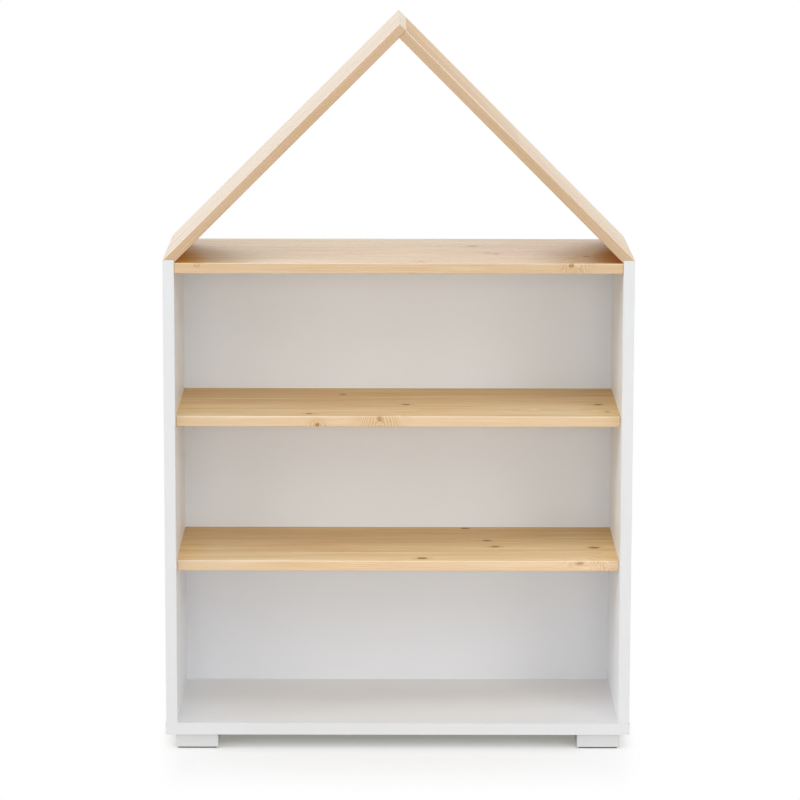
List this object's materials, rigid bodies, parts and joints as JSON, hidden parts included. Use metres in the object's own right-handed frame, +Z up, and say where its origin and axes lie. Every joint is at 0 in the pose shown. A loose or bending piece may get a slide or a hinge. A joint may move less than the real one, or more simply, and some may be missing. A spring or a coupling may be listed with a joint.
{
  "type": "house shaped bookcase",
  "caption": "Open-fronted white bookcase for a child's room, with pine shelves on a case with block feet and an open pine gable on top in the shape of a house roof.",
  "frame": {"origin": "on the floor under the feet, midway across the width and midway between the front and rear edges", "axes": "+Z up, +X to the right seen from the front, +Y from the open front to the back"},
  "size_m": [0.752, 0.3, 1.1746],
  "materials": {
    "white_board": "matt white faced particle board",
    "white_back_board": "thin white faced fibreboard",
    "white_edging": "matt white edging strip",
    "pine": "clear lacquered pine with growth rings and small knots",
    "white_foot": "matt white moulded block",
    "steel_screws": "zinc plated steel",
    "zinc_fittings": "die-cast zinc and plated steel",
    "beech_dowels": "plain turned beech"
  },
  "bodies": {
    "root": {"left_side_panel": "white_board", "right_side_panel": "white_board", "bottom_panel": "white_board", "back_panel": "white_back_board", "left_side_edging": "white_edging", "right_side_edging": "white_edging", "bottom_front_edging": "white_edging", "bottom_left_edging": "white_edging", "bottom_right_edging": "white_edging", "top_shelf": "pine", "middle_shelf": "pine", "lower_shelf": "pine", "left_roof_board": "pine", "right_roof_board": "pine", "front_left_foot": "white_foot", "front_right_foot": "white_foot", "rear_left_foot": "white_foot", "rear_right_foot": "white_foot", "foot_screws": "steel_screws", "base_screws": "steel_screws", "base_dowels": "beech_dowels", "top_shelf_bolts": "zinc_fittings", "top_shelf_cams": "zinc_fittings", "top_shelf_dowels": "beech_dowels", "middle_shelf_bolts": "zinc_fittings", "middle_shelf_cams": "zinc_fittings", "middle_shelf_dowels": "beech_dowels", "lower_shelf_bolts": "zinc_fittings", "lower_shelf_cams": "zinc_fittings", "lower_shelf_dowels": "beech_dowels", "ridge_bolts": "zinc_fittings", "ridge_cams": "zinc_fittings", "ridge_dowels": "beech_dowels", "left_eave_bolts": "zinc_fittings", "left_eave_cams": "zinc_fittings", "right_eave_bolts": "zinc_fittings", "right_eave_cams": "zinc_fittings", "back_panel_nails": "steel_screws"}
  },
  "joints": []
}
